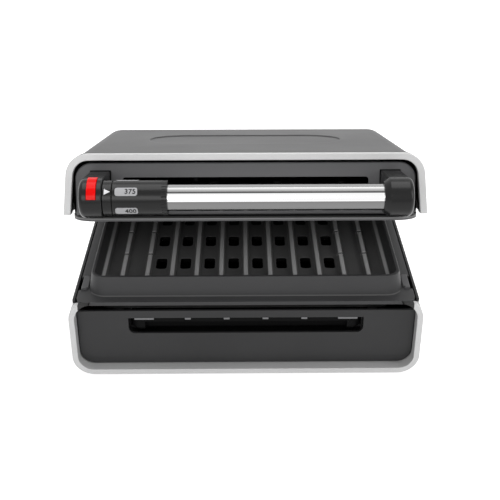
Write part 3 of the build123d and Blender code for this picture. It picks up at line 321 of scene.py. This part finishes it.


# Moulded and cast finishes: grey level and its spread, least and most roughness, grains per metre, depth
# of the grain and width of a soft edge in metres, how much lighter an edge is from use and as a painted
# highlight, and shine if not usual
usualShine = 0.25
bodyTint, wearAndHighlightTint = 1.03, 1.02     # the blue of a body and of a lightened edge, against its red and green
wearAndHighlightLift = 0.02
finishes = {
    # A wide soft edge with strong lightening paints a soft highlight along the recess and the edges of
    # the lid's top
    "lidGrey": {"color": 0.045, "spread": 0.004, "rough": (0.36, 0.46), "grain": 1400.0,
                "bump": 0.00002, "edge": 0.003, "wearAndHighlight": 1.3, "shine": 0.16},
    "panelGrey": {"color": 0.122, "spread": 0.01, "rough": (0.36, 0.46), "grain": 1400.0,
                  "bump": 0.00002, "edge": 0.0004, "wearAndHighlight": 0.25},
    "basePanelGrey": {"color": 0.031, "spread": 0.006, "rough": (0.33, 0.43), "grain": 1400.0,
                      "bump": 0.00002, "edge": 0.0004, "wearAndHighlight": 0.3},
    "housingBlack": {"color": 0.03, "spread": 0.004, "rough": (0.4, 0.55), "grain": 1100.0,
                     "bump": 0.00004, "edge": 0.0005, "wearAndHighlight": 0.2},
    "frameGrey": {"color": 0.11, "spread": 0.008, "rough": (0.36, 0.46), "grain": 1400.0,
                  "bump": 0.00002, "edge": 0.0005, "wearAndHighlight": 0.25},
    "plateCoat": {"color": 0.051, "spread": 0.006, "rough": (0.34, 0.5), "grain": 1700.0,
                  "bump": 0.00006, "edge": 0.0007, "wearAndHighlight": 0.45},
    "handleBlack": {"color": 0.006, "spread": 0.001, "rough": (0.2, 0.28), "grain": 500.0,
                    "bump": 0.000008, "edge": 0.0005, "wearAndHighlight": 0.15},
    # The tray's black is darkened further as painted shade, so that its slot shows dark
    "trayBlackAndShade": {"color": 0.004, "spread": 0.001, "rough": (0.55, 0.7), "grain": 1200.0,
                  "bump": 0.00003, "edge": 0.0005, "wearAndHighlight": 0.1, "shine": 0.07},
    "latchGrey": {"color": 0.12, "spread": 0.01, "rough": (0.35, 0.5), "grain": 1200.0,
                  "bump": 0.00002, "edge": 0.0004, "wearAndHighlight": 0.2},
    "plateLight": {"color": 0.42, "spread": 0.02, "rough": (0.35, 0.45), "grain": 1500.0,
                   "bump": 0.000008, "edge": 0.0002, "wearAndHighlight": 0.1},
    "inkBlack": {"color": 0.008, "spread": 0.002, "rough": (0.4, 0.5), "grain": 1500.0,
                 "bump": 0.000004, "edge": 0.0001, "wearAndHighlight": 0.1},
    "pointerWhite": {"color": 0.8, "spread": 0.03, "rough": (0.4, 0.5), "grain": 1500.0,
                     "bump": 0.000004, "edge": 0.0001, "wearAndHighlight": 0.1},
    # The clips' light grey is a painted highlight on their lit edges
    "clipHighlightGrey": {"color": 0.22, "spread": 0.01, "rough": (0.35, 0.45), "grain": 1400.0,
                 "bump": 0.000008, "edge": 0.0002, "wearAndHighlight": 0.2},
    "ceramicWhite": {"color": 0.7, "spread": 0.03, "rough": (0.5, 0.7), "grain": 900.0,
                     "bump": 0.00004, "edge": 0.0003, "wearAndHighlight": 0.1},
    "rubberBlack": {"color": 0.03, "spread": 0.006, "rough": (0.7, 0.9), "grain": 700.0,
                    "bump": 0.00006, "edge": 0.0006, "wearAndHighlight": 0.3},
}


def makeMoulded(name, values):
    material, tree, shader, place = newMaterial(name)
    grain = addGrain(tree, place, values["grain"])
    softEdge = addSoftEdge(tree, values["edge"])
    low = grey(values["color"] - values["spread"], bodyTint)
    high = grey(values["color"] + values["spread"], bodyTint)
    body = addColorMix(tree, grain.outputs["Blotch"], low, high)
    # The edge is lightened from use and, where the lightening is strong, as a painted highlight
    wornAndLit = grey(values["color"] * (1 + values["wearAndHighlight"]) + wearAndHighlightLift * values["wearAndHighlight"], wearAndHighlightTint)
    tree.links.new(addColorMix(tree, softEdge.outputs["Edge"], body, wornAndLit), shader.inputs["Base Color"])
    tree.links.new(addRange(tree, grain.outputs["Blotch"], *values["rough"]), shader.inputs["Roughness"])
    addBump(tree, shader, grain.outputs["Height"], values["bump"], softEdge.outputs["Normal"])
    shader.inputs["Specular IOR Level"].default_value = values.get("shine", usualShine)
    return material


# Metals: the two bright frames are a painted silver, so they are metallic only in part. Stretch is the
# number of scratches per metre along x, y and z
scratchDark, scratchLight = 0.94, 1.05
brightFrame = {"color": 0.62, "rough": (0.42, 0.5), "stretch": (700.0, 700.0, 700.0),
               "bump": 0.000006, "edge": 0.0006, "metallic": 0.25, "tint": 1.0}
metals = {
    "silver": brightFrame,
    "lidSilver": brightFrame,
    "steel": {"color": 0.6, "rough": (0.25, 0.4), "stretch": (300.0, 40.0, 300.0),
              "bump": 0.00001, "edge": 0.0004, "metallic": 1.0, "tint": 1.0},
    "element": {"color": 0.33, "rough": (0.3, 0.5), "stretch": (300.0, 300.0, 300.0),
                "bump": 0.00001, "edge": 0.0004, "metallic": 1.0, "tint": 0.95},
    # Near black as painted shade: the reflectors are darkened so that the vents show dark inside
    "shadeDarkSteel": {"color": 0.012, "rough": (0.55, 0.7), "stretch": (300.0, 40.0, 300.0),
                  "bump": 0.00001, "edge": 0.0004, "metallic": 0.3, "tint": 1.0},
}


def makeMetal(name, values):
    material, tree, shader, place = newMaterial(name)
    scratches = addScratches(tree, place, values["stretch"])
    softEdge = addSoftEdge(tree, values["edge"])
    low = grey(values["color"] * scratchDark, values["tint"])
    high = grey(values["color"] * scratchLight, values["tint"])
    tree.links.new(addColorMix(tree, scratches, low, high), shader.inputs["Base Color"])
    tree.links.new(addRange(tree, scratches, *values["rough"]), shader.inputs["Roughness"])
    shader.inputs["Metallic"].default_value = values["metallic"]
    addBump(tree, shader, scratches, values["bump"], softEdge.outputs["Normal"])
    return material


# Indicator lens: clear red with a faint glow of its own
lens = {
    "grain": 300.0,
    "edge": 0.0006,
    "dark": (0.62, 0.0, 0.0, 1.0),
    "light": (0.74, 0.0, 0.0, 1.0),
    "rough": (0.08, 0.14),
    "glow": 0.22,
    "shine": 0.12,
}


def makeLens():
    material, tree, shader, place = newMaterial("lensRed")
    grain = addGrain(tree, place, lens["grain"])
    softEdge = addSoftEdge(tree, lens["edge"])
    body = addColorMix(tree, grain.outputs["Blotch"], lens["dark"], lens["light"])
    tree.links.new(body, shader.inputs["Base Color"])
    tree.links.new(body, shader.inputs["Emission Color"])
    tree.links.new(addRange(tree, grain.outputs["Blotch"], *lens["rough"]), shader.inputs["Roughness"])
    tree.links.new(softEdge.outputs["Normal"], shader.inputs["Normal"])
    shader.inputs["Emission Strength"].default_value = lens["glow"]
    shader.inputs["Specular IOR Level"].default_value = lens["shine"]
    return material


# Grip tube: polished, with painted reflections: the broad light and dark bands that a long bright tube
# reflects along its length are painted into its colour
tube = {
    "axis": (-0.145055, 0.202074),      # y and z of the handle's axis
    "facing": (0.0, 0.4912, 0.871),     # across the bands
    "reach": 0.0113,
    "paintedReflectionBands": ((0.0, 0.2), (0.25, 0.17), (0.31, 0.15), (0.325, 0.95), (0.62, 0.95), (0.635, 0.1),
              (0.67, 0.11), (0.75, 0.14), (0.83, 0.27), (0.92, 0.42), (1.0, 0.45)),
    "stretch": (9.0, 1100.0, 1100.0),
    "rough": (0.10, 0.15),
}


def makeTube():
    material, tree, shader, place = newMaterial("tube")
    facing = Vector(tube["facing"])
    middle = facing.dot(Vector((0.0, *tube["axis"])))
    across = addAlong(tree, place, facing, middle - tube["reach"], middle + tube["reach"], "LINEAR")
    # Painted reflection: the colour steps through the bands across the tube
    ramp = tree.nodes.new("ShaderNodeValToRGB")
    stops = ramp.color_ramp.elements
    while len(stops) < len(tube["paintedReflectionBands"]):
        stops.new(0.5)
    for stop, (at, value) in zip(stops, tube["paintedReflectionBands"]):
        stop.position = at
        stop.color = grey(value)
    tree.links.new(across, ramp.inputs["Fac"])
    tree.links.new(ramp.outputs["Color"], shader.inputs["Base Color"])
    scratches = addScratches(tree, place, tube["stretch"])
    tree.links.new(addRange(tree, scratches, *tube["rough"]), shader.inputs["Roughness"])
    shader.inputs["Metallic"].default_value = 1.0
    return material


# Circuit boards: mottled green lacquer
board = {
    "grain": 500.0,
    "blotch": 160.0,
    "dark": (0.01, 0.09, 0.03, 1.0),
    "light": (0.03, 0.2, 0.07, 1.0),
    "rough": (0.3, 0.5),
}


def makeBoard():
    material, tree, shader, place = newMaterial("boardGreen")
    grain = addGrain(tree, place, board["grain"], board["blotch"])
    body = addColorMix(tree, grain.outputs["Blotch"], board["dark"], board["light"])
    tree.links.new(body, shader.inputs["Base Color"])
    tree.links.new(addRange(tree, grain.outputs["Blotch"], *board["rough"]), shader.inputs["Roughness"])
    return material


materials = {name: makeMoulded(name, values) for name, values in finishes.items()}
for metalName, metalValues in metals.items():
    materials[metalName] = makeMetal(metalName, metalValues)
materials["tube"] = makeTube()
materials["lensRed"] = makeLens()
materials["boardGreen"] = makeBoard()
print("materials made:", len(materials))


def objectPlace(tree):
    return next(node for node in tree.nodes if node.type == "TEX_COORD").outputs["Object"]


# Lays a colour over what a material has so far, where the mask is 1
def tintMasked(material, mask, color):
    tree = material.node_tree
    base = tree.nodes["Principled BSDF"].inputs["Base Color"]
    tree.links.new(addColorMix(tree, mask, base.links[0].from_socket, color), base)


# Plates, with painted light and shade: the pan's floor is painted lighter towards the front and darker
# towards the rear as painted shadow under the lid, the ribs' crests carry a painted highlight that also
# fades towards the rear, the slots are painted dark as shade, and a painted highlight line runs along the
# wall's foot
plateShade = {
    "front": -0.130045,                     # y of the base's front, which the two depths start from
    "panFront": 0.025, "panRear": 0.238, "halfWidth": 0.1435, "blend": 0.002,
    "rimFrom": 0.093, "rimTo": 0.0905,
    "rearAt": 0.06, "frontAt": -0.10,       # y where the tones of the rear and of the front are reached
    "floor": 0.15, "shadedRearFloor": 0.06,
    "crestHighlight": 0.7, "shadedRearCrest": 0.2, "crestFrom": 0.0868, "crestTo": 0.0878,
    "slot": 0.0005, "slotFrom": 0.0834, "slotTo": 0.0830,
    "foot": 0.12, "footLow": 0.0826, "footHigh": 0.0840, "footLowBlend": 0.0002,
    "footHighBlend": 0.0004, "footFrontBlend": 0.001,
}
right, left = (1, 0, 0), (-1, 0, 0)
rearward, forward = (0, 1, 0), (0, -1, 0)
upward = (0, 0, 1)


def shadePlates():
    material = materials["plateCoat"]
    tree = material.node_tree
    place = objectPlace(tree)
    values = plateShade
    side = values["halfWidth"]
    front = values["front"] + values["panFront"]
    rear = values["front"] + values["panRear"]
    blend = values["blend"]
    inPan = multiply(tree, [
        addAlong(tree, place, right, -side, -side + blend),
        addAlong(tree, place, left, -side, -side + blend),
        addAlong(tree, place, rearward, front - blend, front),
        addAlong(tree, place, forward, -rear - blend, -rear),
        addAlong(tree, place, upward, values["rimFrom"], values["rimTo"])])
    # Painted light towards the front, painted shadow of the lid towards the rear
    nearFront = addAlong(tree, place, forward, -values["rearAt"], -values["frontAt"])
    tintMasked(material, inPan,
               addColorMix(tree, nearFront, grey(values["shadedRearFloor"]), grey(values["floor"])))
    # Painted highlight on the ribs' crests, with painted shadow of the lid towards the rear
    crestHighlight = multiply(tree, [inPan, addAlong(tree, place, upward, values["crestFrom"], values["crestTo"])])
    tintMasked(material, crestHighlight,
               addColorMix(tree, nearFront, grey(values["shadedRearCrest"]), grey(values["crestHighlight"])))
    # Painted highlight: a fine light line along the foot of the pan's wall
    low, high = values["footLow"], values["footHigh"]
    foot = multiply(tree, [
        addAlong(tree, place, upward, low, low + values["footLowBlend"]),
        addAlong(tree, place, upward, high, high - values["footHighBlend"]),
        addAlong(tree, place, forward, -front, -front + values["footFrontBlend"])])
    tintMasked(material, foot, grey(values["foot"]))
    # Painted shade: the slots are painted near black
    slots = multiply(tree, [inPan, addAlong(tree, place, upward, values["slotFrom"], values["slotTo"])])
    tintMasked(material, slots, grey(values["slot"]))


# Lid, in its own closed depth and height: a painted shadow in the seam behind the trim's facing, and a
# painted highlight and shadow on the frame's lip
lidShade = {
    "tilt": 16.9, "hinge": (0.0, 0.145955, 0.066), "hingeDepth": 0.276,
    "seamShadow": 0.008, "seamShadowFrom": 0.0048, "seamShadowBlend": 0.0002,
    "light": 0.2, "lipHighlightFrom": 0.0849, "lightBlend": 0.0004,
    "dark": 0.003, "lipShadowFrom": 0.0858, "darkBlend": 0.0002,
}


def shadeLidTrim():
    material = materials["lidSilver"]
    tree = material.node_tree
    tilt = radians(lidShade["tilt"])
    back = Vector((0.0, cos(tilt), -sin(tilt)))
    atFront = back.dot(Vector(lidShade["hinge"])) - lidShade["hingeDepth"]
    # Painted shadow: the rear of the trim's top is near black for the shade in the seam before the cover
    edge = atFront + lidShade["seamShadowFrom"]
    behind = addAlong(tree, objectPlace(tree), back, edge, edge + lidShade["seamShadowBlend"])
    tintMasked(material, behind, grey(lidShade["seamShadow"]))


def shadeLip():
    material = materials["frameGrey"]
    tree = material.node_tree
    place = objectPlace(tree)
    tilt = radians(lidShade["tilt"])
    hinge = Vector(lidShade["hinge"])
    up = Vector((0.0, sin(tilt), cos(tilt)))
    atTable = up.dot(hinge) - hinge.z
    light = atTable + lidShade["lipHighlightFrom"]
    dark = atTable + lidShade["lipShadowFrom"]
    # Painted highlight along the lip's front face, then painted shadow in the gap above it
    tintMasked(material, addAlong(tree, place, up, light - lidShade["lightBlend"], light),
               grey(lidShade["light"]))
    tintMasked(material, addAlong(tree, place, up, dark, dark + lidShade["darkBlend"]),
               grey(lidShade["dark"]))


# Base trim: its upper ends are blunt, and the black corner of the base shows inside them
trimShade = {"inner": 0.157, "from": 0.0768, "blend": 0.0004, "dark": 0.01}


def shadeBaseTrim():
    material = materials["silver"]
    tree = material.node_tree
    place = objectPlace(tree)
    inner, low, blend = trimShade["inner"], trimShade["from"], trimShade["blend"]
    tips = multiply(tree, [addAlong(tree, place, right, -inner - blend, -inner),
                           addAlong(tree, place, left, -inner - blend, -inner),
                           addAlong(tree, place, upward, low, low + blend)])
    tintMasked(material, tips, grey(trimShade["dark"]))


shadePlates()
shadeLidTrim()
shadeLip()
shadeBaseTrim()
print("plates, lid and base trim shaded")

finishOf = {
    "lidGrey": ("lid_cover",),
    "panelGrey": ("lid_front_panel",),
    "basePanelGrey": ("base_front_panel",),
    "housingBlack": ("base_housing", "housing_bosses", "hinge_towers", "tray_rails", "hinge_trough",
                     "board_pegs"),
    "frameGrey": ("lid_frame",),
    "plateCoat": ("lower_plate", "upper_plate"),
    "handleBlack": ("handle_post_left", "handle_post_right", "tube_bushes", "pointer_collar",
                    "temperature_dial"),
    "trayBlackAndShade": ("drip_tray",),
    "latchGrey": ("lower_latch_left", "lower_latch_right", "upper_latch_left", "upper_latch_right"),
    "ceramicWhite": ("lower_supports", "upper_supports", "terminal_block"),
    "rubberBlack": ("rubber_feet", "cord_grommet"),
    "silver": ("base_trim",),
    "lidSilver": ("lid_trim",),
    "tube": ("handle_tube",),
    "shadeDarkSteel": ("lower_reflector", "upper_reflector"),
    "steel": ("base_screws", "lid_screws", "lower_latch_springs", "safety_thermostat", "hinge_shaft",
              "shaft_rings", "hinge_arm_left", "hinge_arm_right", "handle_core", "temperature_probe"),
    "element": ("lower_element", "upper_element"),
    "lensRed": ("indicator_lens",),
    "boardGreen": ("indicator_board", "dial_sensor", "control_board"),
}
for finish, members in finishOf.items():
    for member in members:
        nodes[member].data.materials.clear()
        nodes[member].data.materials.append(materials[finish])
print("finishes given to", sum(len(members) for members in finishOf.values()), "nodes")

# Dial: five raised number plates round the drum, and the pointer on the collar
dial = {
    "radius": 0.015,
    "numbers": ("325", "350", "375", "400", "425"),
    "firstAngle": 182.5,        # of the first plate, above the front
    "pitch": -68.0,
    "plateLeft": -0.1103,
    "plateRight": -0.0913,
    "plateHeight": 0.0074,
    "plateCorner": 0.0021,
    "cornerSegments": 6,
    "plateThick": 0.0003,
    "digitSize": 0.0062,
    "digitSpacing": 1.05,
    "digitWeight": 0.00012,     # how far the outline of each stroke is pushed out
    "digitThick": 0.00012,
    "digitInset": 0.0012,
    "digitGap": 0.00001,
    "strips": 10,               # flat strips that bend round the drum
    "pointerAngle": 46.5,
    "pointerLeft": -0.1194,
    "pointerRight": -0.1141,
    "pointerHeight": 0.0052,
    "pointerThick": 0.00012,
    "pointerStrips": 8,
}


def cutAcross(height, count):
    bpy.ops.object.mode_set(mode="EDIT")
    for cut in range(1, count):
        bpy.ops.mesh.select_all(action="SELECT")
        level = -height / 2 + height * cut / count
        bpy.ops.mesh.bisect(plane_co=(0, level, 0), plane_no=(0, 1, 0))
    bpy.ops.object.mode_set(mode="OBJECT")


def thicken(piece, thickness):
    solid = piece.modifiers.new("thickness", "SOLIDIFY")
    solid.thickness = thickness
    solid.offset = 1.0
    bpy.ops.object.modifier_apply(modifier=solid.name)


def wrapOnHandle(piece, radius, angle):
    axisY, axisZ = tube["axis"]
    for vertex in piece.data.vertices:
        x, arc, lift = vertex.co
        turn = radians(angle) + arc / radius
        vertex.co = (x, axisY - (radius + lift) * cos(turn), axisZ + (radius + lift) * sin(turn))


def dress(piece, finish, body):
    piece.data.materials.clear()
    piece.data.materials.append(materials[finish])
    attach(piece, body)


def addNumberPlate(number, angle):
    selectNone()
    bpy.ops.mesh.primitive_plane_add(size=1)
    plate = bpy.context.object
    plate.name = "dial_plate_" + number
    plate.scale = (dial["plateRight"] - dial["plateLeft"], dial["plateHeight"], 1)
    plate.location = ((dial["plateRight"] + dial["plateLeft"]) / 2, 0, 0)
    bpy.ops.object.transform_apply(location=True, rotation=True, scale=True)
    bpy.ops.object.mode_set(mode="EDIT")
    bpy.ops.mesh.select_all(action="SELECT")
    bpy.ops.mesh.bevel(offset=dial["plateCorner"], segments=dial["cornerSegments"], affect="VERTICES")
    bpy.ops.object.mode_set(mode="OBJECT")
    cutAcross(dial["plateHeight"], dial["strips"])
    thicken(plate, dial["plateThick"])
    wrapOnHandle(plate, dial["radius"], angle)
    dress(plate, "plateLight", "dial")


def addDigits(number, angle):
    selectNone()
    bpy.ops.object.text_add()
    digits = bpy.context.object
    digits.name = "dial_number_" + number
    digits.data.body = number
    digits.data.size = dial["digitSize"]
    digits.data.align_x = "RIGHT"
    digits.data.align_y = "CENTER"
    digits.data.space_character = dial["digitSpacing"]
    digits.data.offset = dial["digitWeight"]
    bpy.ops.object.convert(target="MESH")
    digits = bpy.context.object
    digits.location = (dial["plateRight"] - dial["digitInset"], 0, 0)
    bpy.ops.object.transform_apply(location=True, rotation=True, scale=True)
    cutAcross(dial["digitSize"], dial["strips"])
    thicken(digits, dial["digitThick"])
    wrapOnHandle(digits, dial["radius"] + dial["plateThick"] + dial["digitGap"], angle)
    dress(digits, "inkBlack", "dial")


def addPointer():
    selectNone()
    bpy.ops.mesh.primitive_circle_add(vertices=3, radius=1, fill_type="NGON")
    pointer = bpy.context.object
    pointer.name = "collar_pointer"
    half = dial["pointerHeight"] / 2
    corners = ((dial["pointerLeft"], -half), (dial["pointerRight"], 0), (dial["pointerLeft"], half))
    for vertex, (x, y) in zip(pointer.data.vertices, corners):
        vertex.co = (x, y, 0)
    cutAcross(dial["pointerHeight"], dial["pointerStrips"])
    thicken(pointer, dial["pointerThick"])
    bpy.ops.object.mode_set(mode="EDIT")
    bpy.ops.mesh.select_all(action="SELECT")
    bpy.ops.mesh.normals_make_consistent(inside=False)
    bpy.ops.object.mode_set(mode="OBJECT")
    wrapOnHandle(pointer, dial["radius"], dial["pointerAngle"])
    dress(pointer, "pointerWhite", "lid")


for plateIndex, plateNumber in enumerate(dial["numbers"]):
    plateAngle = dial["firstAngle"] + plateIndex * dial["pitch"]
    addNumberPlate(plateNumber, plateAngle)
    addDigits(plateNumber, plateAngle)
addPointer()
print("dial plates, numbers and pointer made")

# Tray slot: six clips along its upper edge, two long ones outside and four short ones between, light grey
# as a painted highlight
clips = {
    "places": ((-0.097, 0.0186), (0.097, 0.0186), (-0.0555, 0.0056), (-0.0185, 0.0056),
               (0.0185, 0.0056), (0.0555, 0.0056)),      # x of the middle, and width
    "front": -0.12010,
    "rear": -0.1171,
    "low": 0.0605,
    "high": 0.0624,
    "round": 0.0003,
    "roundSegments": 2,
}


def addClip(index, x, width):
    selectNone()
    middleY = (clips["front"] + clips["rear"]) / 2
    middleZ = (clips["low"] + clips["high"]) / 2
    bpy.ops.mesh.primitive_cube_add(size=1, location=(x, middleY, middleZ))
    clip = bpy.context.object
    clip.name = f"slot_clip_{index}"
    clip.scale = (width, clips["rear"] - clips["front"], clips["high"] - clips["low"])
    bpy.ops.object.transform_apply(location=True, rotation=True, scale=True)
    bpy.ops.object.mode_set(mode="EDIT")
    bpy.ops.mesh.select_all(action="SELECT")
    bpy.ops.mesh.bevel(offset=clips["round"], segments=clips["roundSegments"], affect="EDGES")
    bpy.ops.object.mode_set(mode="OBJECT")
    dress(clip, "clipHighlightGrey", "base")


for clipIndex, (clipX, clipWidth) in enumerate(clips["places"]):
    addClip(clipIndex, clipX, clipWidth)
print("slot clips made")
